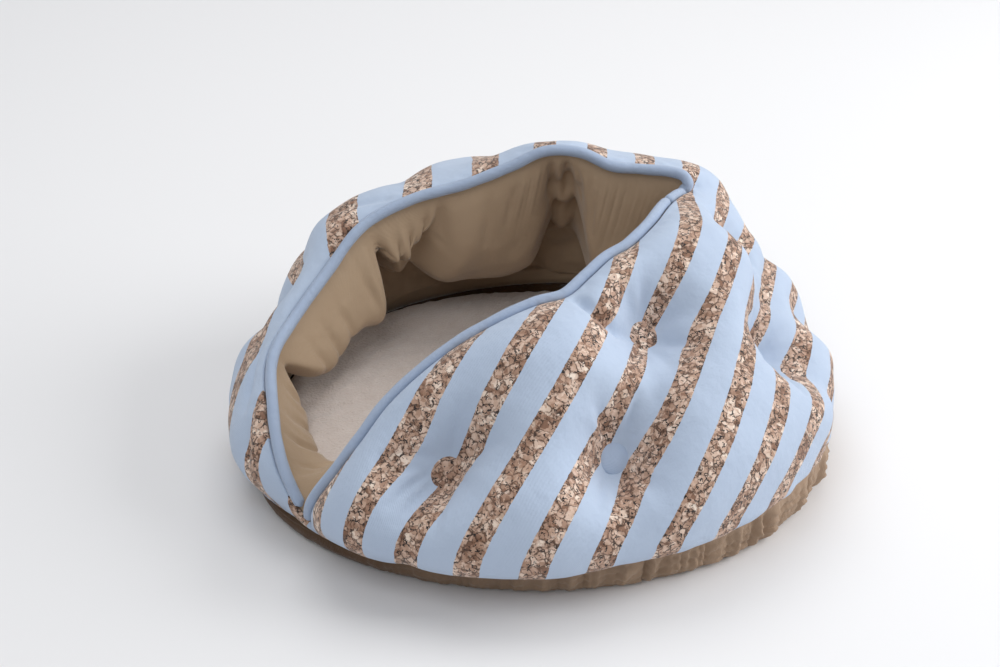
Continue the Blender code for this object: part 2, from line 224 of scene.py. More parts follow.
def lip_at(angle):
    """The lip's place on the round and its lift, smooth through the table, all round."""
    table = np.array(LIP, dtype=float)
    turn = np.vstack((table[-2:] - (360, 0, 0, 0), table, table[:3] + (360, 0, 0, 0)))
    knots = turn[:, 0]
    slope = (turn[2:] - turn[:-2])[:, 1:] / (turn[2:] - turn[:-2])[:, :1]
    slope = np.vstack((slope[:1], slope, slope[-1:]))
    found = np.clip(np.searchsorted(knots, angle, side="right") - 1, 1, len(knots) - 3)
    span = knots[found + 1] - knots[found]
    u = ((angle - knots[found]) / span)[:, None]
    bend = u * u * (3 - 2 * u)
    leave = slope[found] * span[:, None]
    arrive = slope[found + 1] * span[:, None]
    ends = turn[found, 1:] * (1 - bend) + turn[found + 1, 1:] * bend
    return ends + leave * u * (1 - u) ** 2 - arrive * u * u * (1 - u)


def place_of(key):
    if isinstance(key, str):
        return polar(TUFTS[key][0], TUFTS[key][1])
    return polar(*key)


def distance_to(flat, key):
    """Distance along the cloth to a tuft, in metres."""
    return np.linalg.norm(flat - place_of(key), axis=1) * CLOTH_RADIUS


def creased(flat, creases, valley_width):
    """How full the stuffing is beside the creases, from 0 in a deep one to 1 well away."""
    full = np.ones(len(flat))
    for start_key, end_key, depth, spread, bluntness in creases:
        start = place_of(start_key)
        run = place_of(end_key) - start
        share = np.clip((flat - start) @ run / (run @ run), 0, 1)
        reach = np.linalg.norm(flat - start - share[:, None] * run, axis=1) * CLOTH_RADIUS
        valley = np.exp(-((reach / (spread * valley_width)) ** 2))
        full *= 1 - depth * (1 - CREASE_VALLEY) * np.exp(-((reach / spread) ** bluntness))
        full *= 1 - depth * CREASE_VALLEY * valley
    return full


def tufted(flat, spread, power):
    """How full the stuffing is round the tufts, flat under the buttons and steep beside them."""
    full = np.ones(len(flat))
    for name in TUFTS:
        drawn = TUFTS[name][3]
        away = np.clip(distance_to(flat, name) - TUFT_FLAT, 0, None)
        steep = np.exp(-((away / spread) ** power))
        broad = np.exp(-((away / (spread * TUFT_VALLEY_WIDTH)) ** 2))
        full *= 1 - drawn * ((1 - TUFT_VALLEY) * steep + TUFT_VALLEY * broad)
    return full


def uneven(places, size, seed, waves=14):
    """A smooth random unevenness of about -1 to 1, in lumps of about the size given."""
    draw = np.random.default_rng(seed)
    way = unit(draw.normal(size=(waves, places.shape[1])))
    way = way * 2 * math.pi / size * draw.uniform(0.6, 1.4, (waves, 1))
    turn = draw.uniform(0, 2 * math.pi, waves)
    return np.cos(places @ way.T + turn).sum(axis=1) * math.sqrt(2 / waves) / 2


WALL_COLUMNS = 620
WALL_ROWS = 118
BACK_ROWS = 10
EDGE_CROWDING = 0.09      # how far the rows crowd toward the lip and the hem


def wall_places(columns, rows):
    """Rings of places on the flat round, from the lip to the hem."""
    angle = np.linspace(-90, 270, columns, endpoint=False)
    lip = lip_at(angle)
    hem = np.stack((np.cos(np.radians(angle)), np.sin(np.radians(angle))), axis=1)
    share = np.linspace(0, 1, rows + 1)
    share = share - EDGE_CROWDING * np.sin(2 * math.pi * share)
    flat = lip[:, :2] + (hem - lip[:, :2]) * share[:, None, None]
    from_lip = np.linalg.norm(flat - lip[:, :2], axis=2) * CLOTH_RADIUS
    from_seam = np.linalg.norm(flat - hem, axis=2) * CLOTH_RADIUS
    lift = np.broadcast_to(lip[:, 2], from_lip.shape)
    return flat.reshape(-1, 2), from_lip.ravel(), from_seam.ravel(), lift.ravel()


def wall_middle(flat, from_lip, lift):
    """The wall's middle layer and its outward direction at places on the round."""
    normal = dome_normal(flat * 0.999)
    raised = lift * np.exp(-((from_lip / LIFT_REACH) ** 2))
    for name in TUFTS:
        pull = TUFT_PULL * TUFTS[name][3]
        raised = raised - pull * np.exp(-((distance_to(flat, name) / TUFT_PULL_REACH) ** 2))
    for angle_degrees, distance, reach_out, height in SAGS:
        reach = np.linalg.norm(flat - polar(angle_degrees, distance), axis=1)
        raised = raised + height * np.exp(-((reach / reach_out) ** 2))
    return dome_point(flat) + normal * raised[:, None], normal


def downhill(normal):
    """The way down along the cloth, longer where it is steep."""
    down = np.zeros_like(normal)
    down[:, 2] = -1
    return down + normal * normal[:, 2:]


def rings_to_mesh(name, rings, capped, cloth=None):
    """A closed mesh through rings of points, with the cloth's own coordinates as its UVs."""
    count, columns = rings.shape[:2]
    row = np.arange(count if not capped else count - 1)[:, None]
    column = np.arange(columns)[None, :]
    after = (column + 1) % columns
    above = (row + 1) % count
    quads = np.stack(np.broadcast_arrays(row * columns + column, row * columns + after,
                                         above * columns + after, above * columns + column), axis=2)
    faces = quads.reshape(-1, 4).tolist()
    if capped:
        faces.append(list(range(columns))[::-1])
        faces.append(list(range((count - 1) * columns, count * columns)))
    mesh = bpy.data.meshes.new(name)
    mesh.from_pydata(rings.reshape(-1, 3).tolist(), [], faces)
    if cloth is not None:
        corner = np.zeros(len(mesh.loops), dtype=np.int32)
        mesh.loops.foreach_get("vertex_index", corner)
        layer = mesh.uv_layers.new(name="cloth")
        layer.data.foreach_set("uv", cloth[corner].astype(np.float32).ravel())
    build = bmesh.new()
    build.from_mesh(mesh)
    bmesh.ops.recalc_face_normals(build, faces=build.faces)
    build.to_mesh(mesh)
    build.free()
    mesh.shade_smooth()
    piece = bpy.data.objects.new(name, mesh)
    bpy.context.scene.collection.objects.link(piece)
    return piece


COVER_PUFF = 0.034        # from the wall's middle to the cloth where the filling is fullest
COVER_LIP_ROLL = 0.020
COVER_BACK_ROLL = 0.045   # the roll behind the lip is wider at the back
COVER_SEAM_ROLL = 0.034
COVER_TUFT_SPREAD = 0.0145
COVER_TUFT_POWER = 1.5
COVER_VALLEY = 3.0
COVER_SAG = 0.007
COVER_FLOOR = 0.0032      # cloth left over the middle at the bottom of a tuft or crease
LEAST_PUFF = 0.0026       # no small fold goes deeper than this over the middle
EDGE_REACH = 0.012
FREE_REACH = 0.030        # lumps and small folds have grown to full this far from lip and seam
PINCH_SHARE = 0.34        # how much the cloth closes up round a tuft
PINCH_REACH = 0.020
LARGE_LUMPS = 0.0030
SMALL_LUMPS = 0.0010
COVER_PUCKER = 0.0012
COVER_WRINKLE = 0.0016
WRINKLE_REACH = 0.028
COVER_SWELLS = (
    # hem angle, distance, reach on the round, swell
    (-168, 0.66, 0.22, 0.017),
    (-128, 0.82, 0.17, -0.018),
    (155, 0.42, 0.18, -0.012),
    (72, 0.60, 0.14, 0.014),
    (44, 0.44, 0.10, 0.008),
    (58, 0.82, 0.13, -0.026),
    (26, 0.92, 0.18, 0.014),
    (-12, 0.90, 0.16, 0.004),
)
COVER_CREASES = (
    # from, to (a tuft, or angle and distance), depth, spread, bluntness
    ("front_right", "right", 0.26, 0.018, 2.0),
    ("front_right", (-72, 0.76), 0.45, 0.0110, 1.6),
    ("front_right", (-57, 0.66), 0.35, 0.0120, 1.6),
    ("right", "upper_right", 0.30, 0.019, 1.8),
    ("right", (-15, 0.61), 0.62, 0.0130, 1.6),
    ((-15, 0.61), (-6, 0.49), 0.45, 0.0120, 1.6),
    ("upper_right", (-3, 0.50), 0.55, 0.0110, 1.6),
    ("upper_right", "back_right", 0.36, 0.018, 1.8),
    ("right", "back_right", 0.16, 0.016, 2.0),
    ("back_right", (50, 0.64), 0.75, 0.010, 1.2),
    ((50, 0.64), (64, 0.66), 0.50, 0.010, 1.2),
    ("back_right", "upper_back", 0.25, 0.014, 1.5),
    ("upper_back", "back", 0.30, 0.014, 1.5),
    ("back_right", "back", 0.40, 0.013, 1.5),
    ("back", "back_left", 0.50, 0.013, 1.5),
    ("back_left", "left", 0.55, 0.013, 1.5),
    ("left", "front_left", 0.50, 0.013, 1.5),
    ("upper_right", (-23, 0.42), 0.45, 0.008, 1.3),
    ((-23, 0.42), (-41, 0.33), 0.30, 0.0080, 1.5),
    ("upper_back", (80, 0.36), 0.35, 0.010, 1.5),
    ("front_right", (-83, 0.70), 0.30, 0.013, 1.8),
    ("front_left", (-126, 0.76), 0.50, 0.010, 1.5),
    ((-126, 0.76), (-117, 0.80), 0.60, 0.007, 1.3),
    ((-117, 0.80), (-108, 0.86), 0.50, 0.006, 1.3),
    ((-108, 0.86), (-103, 0.92), 0.30, 0.006, 1.3),
    ("left", (-165, 0.49), 0.45, 0.013, 1.6),
    ("back_left", (152, 0.30), 0.50, 0.013, 1.6),
    ("front_right", (-66, 1.0), 0.26, 0.012, 1.8),
    ("right", (-27, 1.0), 0.16, 0.012, 1.8),
    ("back_right", (35, 1.0), 0.40, 0.013, 1.8),
    ("back", (84, 1.0), 0.40, 0.013, 1.8),
    ("back_left", (133, 1.0), 0.40, 0.013, 1.8),
    ("left", (169, 1.0), 0.40, 0.013, 1.8),
    ("front_left", (-147, 1.0), 0.40, 0.013, 1.8),
)

COVER_TUCKS = (
    # from, to (angle and distance), depth and half width of a small fold in the cloth
    ((-42, 0.33), (-33, 0.375), 0.0065, 0.0038),
    ((-33, 0.375), (-23, 0.415), 0.0050, 0.0036),
    ((-23, 0.415), (-16, 0.42), 0.0030, 0.0036),
    ((-68, 0.76), (-70, 0.83), 0.0032, 0.0038),
    ((-66, 0.78), (-67, 0.86), 0.0026, 0.0036),
    ((-61, 0.78), (-60, 0.86), 0.0020, 0.0036),
    ((-69, 0.72), (-76, 0.75), 0.0030, 0.0038),
    ((-70, 0.75), (-75, 0.79), 0.0026, 0.0034),
    ((-60, 0.70), (-53, 0.68), 0.0022, 0.0038),
    ((-28, 0.66), (-32, 0.60), 0.0026, 0.0040),
    ((-22, 0.66), (-20, 0.59), 0.0026, 0.0040),
    ((-27, 0.75), (-30, 0.82), 0.0022, 0.0038),
    ((-5, 0.46), (2, 0.52), 0.0026, 0.0038),
    ((-14, 0.46), (-20, 0.50), 0.0024, 0.0036),
    ((34, 0.64), (44, 0.60), 0.0040, 0.0040),
    ((28, 0.73), (22, 0.79), 0.0030, 0.0038),
    ((-125, 0.76), (-114, 0.82), 0.0040, 0.0036),
    ((-112, 0.80), (-106, 0.88), 0.0034, 0.0034),
    ((-160, 0.52), (-158, 0.62), 0.0026, 0.0038),
    ((140, 0.52), (138, 0.64), 0.0026, 0.0038),
)


def tucked(flat, tucks):
    """How far the small folds go in."""
    total = np.zeros(len(flat))
    for start_key, end_key, depth, half_width in tucks:
        start = polar(*start_key)
        run = polar(*end_key) - start
        share = np.clip((flat - start) @ run / (run @ run), 0, 1)
        reach = np.linalg.norm(flat - start - share[:, None] * run, axis=1) * CLOTH_RADIUS
        tapered = depth * np.sin(math.pi * np.clip(share, 0.1, 0.9)) ** 0.5
        total += tapered * np.exp(-((reach / half_width) ** 2))
    return total


def pinched(flat):
    """Where each place on the cloth ends up once the tufts have drawn it together."""
    moved = flat.copy()
    for name in TUFTS:
        close = PINCH_SHARE * np.exp(-((distance_to(flat, name) / PINCH_REACH) ** 2))
        moved += (place_of(name) - flat) * close[:, None]
    return moved


def tuft_wrinkles(flat, height, reach, seed):
    """Small folds that fan out from each tuft."""
    draw = np.random.default_rng(seed)
    total = np.zeros(len(flat))
    for name in TUFTS:
        away = distance_to(flat, name)
        offset = flat - place_of(name)
        turn = np.arctan2(offset[:, 1], offset[:, 0])
        fan = 0
        for folds in (5, 7, 9, 13):
            fan = fan + draw.uniform(0.4, 1) * np.cos(folds * turn + draw.uniform(0, 6.3))
        total += height * fan * (away / reach) * np.exp(-((away / reach) ** 2))
    return total


def skin_normal(points, outward):
    """The way straight out of a folded skin, on the side that the outward direction gives."""
    rings = points.reshape(WALL_ROWS + 1, WALL_COLUMNS, 3)
    along = np.roll(rings, -1, axis=1) - np.roll(rings, 1, axis=1)
    across = np.gradient(rings, axis=0)
    found = np.cross(along, across).reshape(-1, 3)
    found /= np.linalg.norm(found, axis=1, keepdims=True) + 1e-12
    return found * np.sign((found * outward).sum())


cloth_flat, from_lip, from_seam, lift = wall_places(WALL_COLUMNS, WALL_ROWS)
flat = pinched(cloth_flat)
middle, normal = wall_middle(flat, from_lip, lift)
lip_places = lip_at(np.linspace(-90, 270, WALL_COLUMNS, endpoint=False))[:, :2]
backward = np.interp(np.tile(lip_places @ (-1, 1), WALL_ROWS + 1), (0.0, 0.3), (0, 1))
cover_roll = COVER_LIP_ROLL + (COVER_BACK_ROLL - COVER_LIP_ROLL) * backward
full = tufted(flat, COVER_TUFT_SPREAD, COVER_TUFT_POWER) * creased(flat, COVER_CREASES, COVER_VALLEY)
full *= 1 - np.exp(-((from_seam / COVER_SEAM_ROLL) ** 1.5))
full *= 1 - np.exp(-from_lip / cover_roll)
at_edge = np.exp(-((from_lip / EDGE_REACH) ** 2)) + np.exp(-((from_seam / EDGE_REACH) ** 2))
floor = COVER_FLOOR + (EDGE_HALF - COVER_FLOOR) * np.clip(at_edge, 0, 1)
free = np.clip(np.minimum(from_lip, from_seam) / FREE_REACH, 0, 1)
stuffing = COVER_PUFF - floor
for angle, distance, reach_out, swell in COVER_SWELLS:
    reach = np.linalg.norm(flat - polar(angle, distance), axis=1)
    stuffing = stuffing + swell * np.exp(-((reach / reach_out) ** 2))
puff = floor + stuffing * full
puff += free * LARGE_LUMPS * uneven(middle, 0.11, 3) * np.clip(full * 2, 0, 1)
puff += free * SMALL_LUMPS * uneven(middle, 0.040, 4) * np.clip(full * 4, 0, 1)
near_seam = np.exp(-((from_seam / 0.014) ** 2)) * np.clip(from_seam / 0.004, 0, 1)
near_lip = np.exp(-((from_lip / 0.010) ** 2)) * np.clip(from_lip / 0.003, 0, 1)
pucker = uneven(middle, 0.020, 6) * near_seam + 0.5 * uneven(middle, 0.012, 7) * near_lip
cover_face = middle + normal * puff[:, None] + downhill(normal) * (COVER_SAG * full ** 1.5)[:, None]
wrinkles = tuft_wrinkles(flat, COVER_WRINKLE, WRINKLE_REACH, 5) * np.clip(full * 4, 0, 1)
small_folds = COVER_PUCKER * pucker + free * wrinkles
small_folds -= np.clip(from_lip / 0.006, 0, 1) * tucked(flat, COVER_TUCKS)
small_folds = np.maximum(small_folds, LEAST_PUFF - puff)
cover_face = cover_face + skin_normal(cover_face, normal) * small_folds[:, None]
back_pick = np.linspace(0, WALL_ROWS, BACK_ROWS + 1).round().astype(int)
ring_shape = (WALL_ROWS + 1, WALL_COLUMNS, 3)
middle_rings = middle.reshape(ring_shape)
normal_rings = normal.reshape(ring_shape)
cover_back = (middle_rings + normal_rings * SEAM_GAP)[back_pick[::-1]]

# The stripes run across the flat cloth, so they are laid out there.  They bow, because the round
# was eased on to the dome on the slant: places are in radii of the round, from its crown.
ACROSS_STRIPES = np.array((0.83, 0.55))
STRIPE_WAY = unit(ACROSS_STRIPES)
STRIPE_PITCH = 0.158 * CLOTH_RADIUS
STRIPE_START = -0.20 * CLOTH_RADIUS
STRIPE_SHARE = 0.41       # of the pitch that is cork
BOW = 0.27                # how sharply a stripe bows along its length
BOW_MIDDLE = -0.17        # where the crown's own stripe is at the middle of its bow
BOW_SLANT = 0.60          # how far that middle moves forward for each radius to the right
BOW_DEPTH = 0.075
BOW_FADE = 0.11           # the bow's depth lessens toward the right
BOW_LEFT = -0.20          # the stripes left of this bow as one
BOW_END = 0.70            # past this from the middle, toward the back, they run straight on


def cloth_coordinates(places):
    across = places @ ACROSS_STRIPES
    along = places @ (-STRIPE_WAY[1], STRIPE_WAY[0])
    rightward = np.maximum(across, BOW_LEFT)
    from_middle = along - BOW_MIDDLE + BOW_SLANT * rightward
    bent = np.minimum(from_middle, BOW_END)
    across = across + BOW * bent * (2 * from_middle - bent) - BOW_DEPTH + BOW_FADE * rightward
    return np.stack((across, along), axis=1) * CLOTH_RADIUS


cover_cloth = cloth_coordinates(cloth_flat)
cover_cloth_back = cover_cloth.reshape(WALL_ROWS + 1, WALL_COLUMNS, 2)[back_pick[::-1]].reshape(-1, 2)
cover = rings_to_mesh(
    "cover_cloth",
    np.concatenate((cover_face.reshape(ring_shape), cover_back)),
    capped=False,
    cloth=np.concatenate((cover_cloth, cover_cloth_back)),
)


class Finish:
    """A cloth's finish, built up node by node on one Principled shader."""

    def __init__(self, name, roughness, sheen=0.0, sheen_roughness=0.5):
        self.material = bpy.data.materials.new(name)
        self.material.use_nodes = True
        self.tree = self.material.node_tree
        self.shader = self.tree.nodes["Principled BSDF"]
        self.shader.inputs["Roughness"].default_value = roughness
        self.shader.inputs["Specular IOR Level"].default_value = 0.25
        self.shader.inputs["Sheen Weight"].default_value = sheen
        self.shader.inputs["Sheen Roughness"].default_value = sheen_roughness

    def node(self, kind, **inputs):
        made = self.tree.nodes.new("ShaderNode" + kind)
        for key, value in inputs.items():
            if hasattr(made, key):
                setattr(made, key, value)
                continue
            socket = made.inputs[int(key[1:])] if key[1:].isdigit() else made.inputs[key.replace("_", " ")]
            self.feed(socket, value)
        return made

    def feed(self, socket, value):
        if isinstance(value, bpy.types.NodeSocket):
            self.tree.links.new(value, socket)
        else:
            socket.default_value = value

    def sum(self, operation, first, second=0.0, third=0.0):
        made = self.node("Math", operation=operation, i0=first, i1=second, i2=third)
        return made.outputs[0]

    def mix(self, share, first, second, blend="MIX"):
        made = self.node("Mix", data_type="RGBA", blend_type=blend)
        self.feed(made.inputs[0], share)
        self.feed(made.inputs[6], first)
        self.feed(made.inputs[7], second)
        return made.outputs[2]

    def ramp(self, value, stops, interpolation="LINEAR"):
        made = self.tree.nodes.new("ShaderNodeValToRGB")
        made.color_ramp.interpolation = interpolation
        while len(made.color_ramp.elements) < len(stops):
            made.color_ramp.elements.new(0.5)
        for element, (place, colour) in zip(made.color_ramp.elements, stops):
            element.position = place
            element.color = (*colour, 1)
        self.feed(made.inputs[0], value)
        return made.outputs[0]

    def place(self):
        return self.node("TexCoord").outputs["Object"]

    def cloth(self):
        return self.node("UVMap", uv_map="cloth").outputs[0]

    def noise(self, where, size, detail=2.0, output=0):
        made = self.node("TexNoise", Vector=where, Scale=1 / size, Detail=detail)
        return made.outputs[output]

    def weave(self, where, pitch):
        """A plain weave's height: threads over and under, in the cloth's own directions."""
        parts = self.node("SeparateXYZ", Vector=where)
        turns = 2 * math.pi / pitch
        warp = self.sum("SINE", self.sum("MULTIPLY", parts.outputs[0], turns))
        weft = self.sum("SINE", self.sum("MULTIPLY", parts.outputs[1], turns))
        return self.sum("MULTIPLY", warp, weft)

    def bump(self, height, depth, below=None):
        made = self.node("Bump", Strength=1.0, Distance=depth, Height=height)
        if below is not None:
            self.feed(made.inputs["Normal"], below)
        return made.outputs[0]

    def colour(self, value):
        self.feed(self.shader.inputs["Base Color"], value)

    def normal(self, value):
        self.feed(self.shader.inputs["Normal"], value)


BLUE_LIT = (0.485, 0.575, 0.715)
BLUE_DEEP = (0.435, 0.525, 0.675)
CORK_CHIPS = (
    (0.00, (0.150, 0.080, 0.050)),
    (0.14, (0.270, 0.150, 0.100)),
    (0.34, (0.450, 0.290, 0.210)),
    (0.53, (0.590, 0.410, 0.315)),
    (0.74, (0.740, 0.570, 0.465)),
    (1.00, (0.900, 0.780, 0.670)),
)
CORK_GAP = (0.105, 0.060, 0.042)
CORK_SPECK = (0.030, 0.025, 0.025)
CORK_STAIN = (0.62, 0.52, 0.45)
CHIP_SIZE = 0.0062
SMALL_CHIP_SIZE = 0.0030


def cork_colour(f):
    """Pressed cork as it is printed: small torn chips, thin dark gaps, flecks and stains."""
    where = f.place()
    coarse = f.node("VectorMath", operation="MULTIPLY_ADD", i0=f.noise(where, 0.0060, 3, output=1),
                    i1=(0.0050, 0.0050, 0.0050), i2=where).outputs[0]
    torn = f.node("VectorMath", operation="MULTIPLY_ADD", i0=f.noise(where, 0.0012, 2, output=1),
                  i1=(0.0014, 0.0014, 0.0014), i2=coarse).outputs[0]
    chips = f.node("TexVoronoi", Vector=torn, Scale=1 / CHIP_SIZE)
    tone = f.node("SeparateXYZ", Vector=chips.outputs["Color"])
    small = f.node("TexVoronoi", Vector=torn, Scale=1 / SMALL_CHIP_SIZE)
    small_tone = f.node("SeparateXYZ", Vector=small.outputs["Color"])
    value = f.sum("MULTIPLY", small_tone.outputs[1], 0.45)
    value = f.sum("MULTIPLY_ADD", tone.outputs[0], 0.55, value)
    colour = f.ramp(value, CORK_CHIPS)
    edge = f.node("TexVoronoi", feature="DISTANCE_TO_EDGE", Vector=torn, Scale=1 / CHIP_SIZE)
    gap = f.node("MapRange", Value=edge.outputs[0], From_Min=0.02, From_Max=0.12, To_Min=1.0, To_Max=0.0)
    patchy = f.node("MapRange", Value=f.noise(where, 0.0040, 2), From_Min=0.36, From_Max=0.54)
    colour = f.mix(f.sum("MULTIPLY", gap.outputs[0], patchy.outputs[0]), colour, (*CORK_GAP, 1))
    fleck = f.node("TexVoronoi", feature="DISTANCE_TO_EDGE", Vector=torn, Scale=1 / SMALL_CHIP_SIZE)
    thin = f.sum("LESS_THAN", fleck.outputs[0], 0.090)
    chosen = f.sum("GREATER_THAN", f.noise(where, 0.0035, 1), 0.56)
    colour = f.mix(f.sum("MULTIPLY", thin, chosen), colour, (*CORK_SPECK, 1))
    stained = f.node("MapRange", Value=f.noise(where, 0.018, 2), From_Min=0.52, From_Max=0.68)
    return f.mix(f.sum("MULTIPLY", stained.outputs[0], 0.8), colour, (*CORK_STAIN, 1), blend="MULTIPLY")


def blue_colour(f, size=0.06):
    return f.mix(f.noise(f.place(), size, 3), (*BLUE_LIT, 1), (*BLUE_DEEP, 1))


COTTON_WEAVE = 0.0011
STRIPES_LEFT = 20.5       # stripes are counted from this many left of the start, so from mid blue


def print_finish():
    f = Finish("striped_cotton", roughness=0.82, sheen=0.25, sheen_roughness=0.45)
    cloth = f.cloth()
    across = f.node("SeparateXYZ", Vector=cloth).outputs[0]
    ragged = f.sum("MULTIPLY_ADD", f.noise(cloth, 0.0030, 2), 0.0014, -0.0007)
    moved = f.sum("SUBTRACT", f.sum("ADD", across, ragged), STRIPE_START - STRIPE_PITCH * STRIPES_LEFT)
    phase = f.sum("FRACT", f.sum("DIVIDE", moved, STRIPE_PITCH))
    from_line = f.sum("ABSOLUTE", f.sum("SUBTRACT", phase, 0.5))
    cork = f.sum("LESS_THAN", from_line, STRIPE_SHARE / 2)
    f.colour(f.mix(cork, blue_colour(f), cork_colour(f)))
    weave = f.bump(f.weave(cloth, COTTON_WEAVE), 0.00010)
    f.normal(f.bump(f.noise(f.place(), 0.010, 3), 0.0010, weave))
    return f.material


cover.data.materials.append(print_finish())
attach(cover, "root")
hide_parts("cover")

# Lining: khaki cotton satin on the wall's inner side, stuffed more loosely than the cover.
# The same threads tuft it, so it hangs in fat rolls over its tufts and gathers at the lip.
LINING_PUFF = 0.064
LINING_TUFT_SPREAD = 0.015
LINING_TUFT_POWER = 1.5
LINING_VALLEY = 2.0
LINING_SAG = 0.020
LOWER_SHARE = 0.30        # the wall below the row of tufts is stuffed less
ROLL_ROUNDNESS = 0.55
ROLL_FATNESS = 0.012      # how far a roll swells out over the seams that hold it
LINING_LUMPS = 0.0016
LINING_RIPPLE = 0.0006
LINING_WRINKLE = 0.0012
GATHER_DEPTH = 0.0018
GATHER_REACH = 0.022
TUFT_ROW = (
    # hem angle, distance: the line along the tufts that the upper rolls hang over
    (-180, 0.80), (-174, 0.74), (-168, 0.64), (-162, 0.62), (-156, 0.66), (-150, 0.74),
    (-142, 0.78), (-136, 0.79), (-130, 0.80), (-124, 0.83), (-118, 0.89), (-110, 0.95),
    (-90, 1.00), (-64, 0.80), (-25, 0.74), (31, 0.70), (82, 0.72), (110, 0.74), (132, 0.77),
    (150, 0.79), (168, 0.80), (180, 0.80),
)
LINING_SWELLS = (
    # hem angle, distance, reach on the round, swell
    (-104, 0.92, 0.14, -0.004),
    (-120, 0.84, 0.09, -0.006),
    (-145, 0.68, 0.12, 0.006),
    (-156, 0.58, 0.08, 0.044),
    (-174, 0.58, 0.10, 0.008),
    (160, 0.58, 0.18, 0.016),
    (108, 0.50, 0.20, 0.034),
)
LINING_CREASES = (
    # from, to (a tuft, or angle and distance), depth, spread, bluntness
    ((-121, 0.71), (-127, 0.78), 0.85, 0.0070, 1.2),
    ((-127, 0.78), (-140, 0.79), 0.60, 0.0070, 1.3),
    ((-152, 0.54), (-159, 0.61), 0.90, 0.0070, 1.2),
    ((-159, 0.61), (-166, 0.80), 0.85, 0.0080, 1.3),
    ((-167, 0.40), (-170, 0.56), 0.75, 0.0070, 1.2),
    ((-170, 0.56), (-178, 0.70), 0.45, 0.0080, 1.3),
    ("left", (-178, 0.70), 0.50, 0.0090, 1.3),
    ((-158, 0.49), (-161, 0.58), 0.40, 0.0050, 1.3),
    ((-162, 0.46), (-165, 0.56), 0.45, 0.0050, 1.3),
    ((138, 0.90), (139, 0.66), 0.80, 0.0080, 1.2),
    ((139, 0.66), (142, 0.48), 0.70, 0.0075, 1.2),
    ((142, 0.48), (152, 0.27), 0.45, 0.0055, 1.2),
    ("back_left", (133, 0.50), 0.85, 0.0090, 1.2),
    ((133, 0.50), (138, 0.37), 0.80, 0.0080, 1.2),
    ((138, 0.37), (143, 0.26), 0.60, 0.0060, 1.2),
    ("back", (88, 0.42), 0.75, 0.0100, 1.3),
    ("upper_back", (82, 0.38), 0.60, 0.0100, 1.3),
    ("back_right", "upper_back", 0.60, 0.0120, 1.4),
    ("right", "upper_right", 0.60, 0.0120, 1.4),
    ("upper_right", "back_right", 0.50, 0.0120, 1.4),
    ("front_right", "right", 0.50, 0.0120, 1.4),
)
LINING_TUCKS = (
    # from, to (angle and distance), depth and half width of a small fold in the cloth
    ((-113, 0.77), (-117, 0.85), 0.0035, 0.0035),
    ((-107, 0.79), (-110, 0.87), 0.0040, 0.0035),
    ((-101, 0.84), (-103, 0.91), 0.0035, 0.0030),
    ((-119, 0.75), (-122, 0.80), 0.0030, 0.0030),
    ((-141, 0.64), (-143, 0.68), 0.0030, 0.0035),
    ((-136, 0.67), (-138, 0.71), 0.0035, 0.0035),
    ((-131, 0.69), (-133, 0.74), 0.0030, 0.0030),
    ((-148, 0.58), (-150, 0.62), 0.0030, 0.0035),
    ((-154, 0.53), (-158, 0.60), 0.0060, 0.0035),
    ((-157, 0.51), (-161, 0.58), 0.0050, 0.0030),
    ((-160, 0.48), (-164, 0.57), 0.0060, 0.0035),
    ((-164, 0.45), (-168, 0.54), 0.0055, 0.0035),
    ((-168, 0.42), (-172, 0.50), 0.0040, 0.0035),
    ((178, 0.34), (176, 0.44), 0.0025, 0.0045),
    ((168, 0.30), (168, 0.38), 0.0025, 0.0040),
    ((150, 0.27), (145, 0.42), 0.0045, 0.0035),
    ((143, 0.26), (139, 0.40), 0.0045, 0.0035),
    ((137, 0.26), (134, 0.36), 0.0035, 0.0030),
    ((128, 0.28), (126, 0.36), 0.0025, 0.0035),
)
flat_angle = np.degrees(np.arctan2(flat[:, 1], flat[:, 0]))
flat_distance = np.hypot(flat[:, 0], flat[:, 1])
row_distance = np.interp(flat_angle, *np.array(TUFT_ROW).T)
above_row = (row_distance - flat_distance) * CLOTH_RADIUS
upper_share = np.clip(from_lip / np.maximum(from_lip + above_row, 0.0001), 0, 1)
lower_share = np.clip((flat_distance - row_distance) / np.maximum(1 - row_distance, 0.0001), 0, 1)
upper_roll = np.clip(4 * upper_share * (1 - upper_share), 0, 1) ** ROLL_ROUNDNESS
lower_roll = np.clip(4 * lower_share * (1 - lower_share), 0, 1) ** ROLL_ROUNDNESS
lining_full = np.where(above_row > 0, upper_roll, LOWER_SHARE * lower_roll)
lining_full *= tufted(flat, LINING_TUFT_SPREAD, LINING_TUFT_POWER)
lining_full *= creased(flat, LINING_CREASES, LINING_VALLEY)
stuffing = LINING_PUFF - floor
for angle, distance, reach_out, swell in LINING_SWELLS:
    reach = np.linalg.norm(flat - polar(angle, distance), axis=1)
    stuffing = stuffing + swell * np.exp(-((reach / reach_out) ** 2))
lining_puff = floor + stuffing * lining_full
lining_puff += free * LINING_LUMPS * uneven(middle, 0.08, 13) * np.clip(lining_full * 2, 0, 1)
lining_face = middle - normal * lining_puff[:, None]
sag = LINING_SAG * np.clip(lining_full, 0, 1)
fatness = ROLL_FATNESS * np.sin(2 * math.pi * upper_share) * np.where(above_row > 0, lining_full, 0)
lining_face = lining_face + downhill(normal) * (sag - fatness)[:, None]
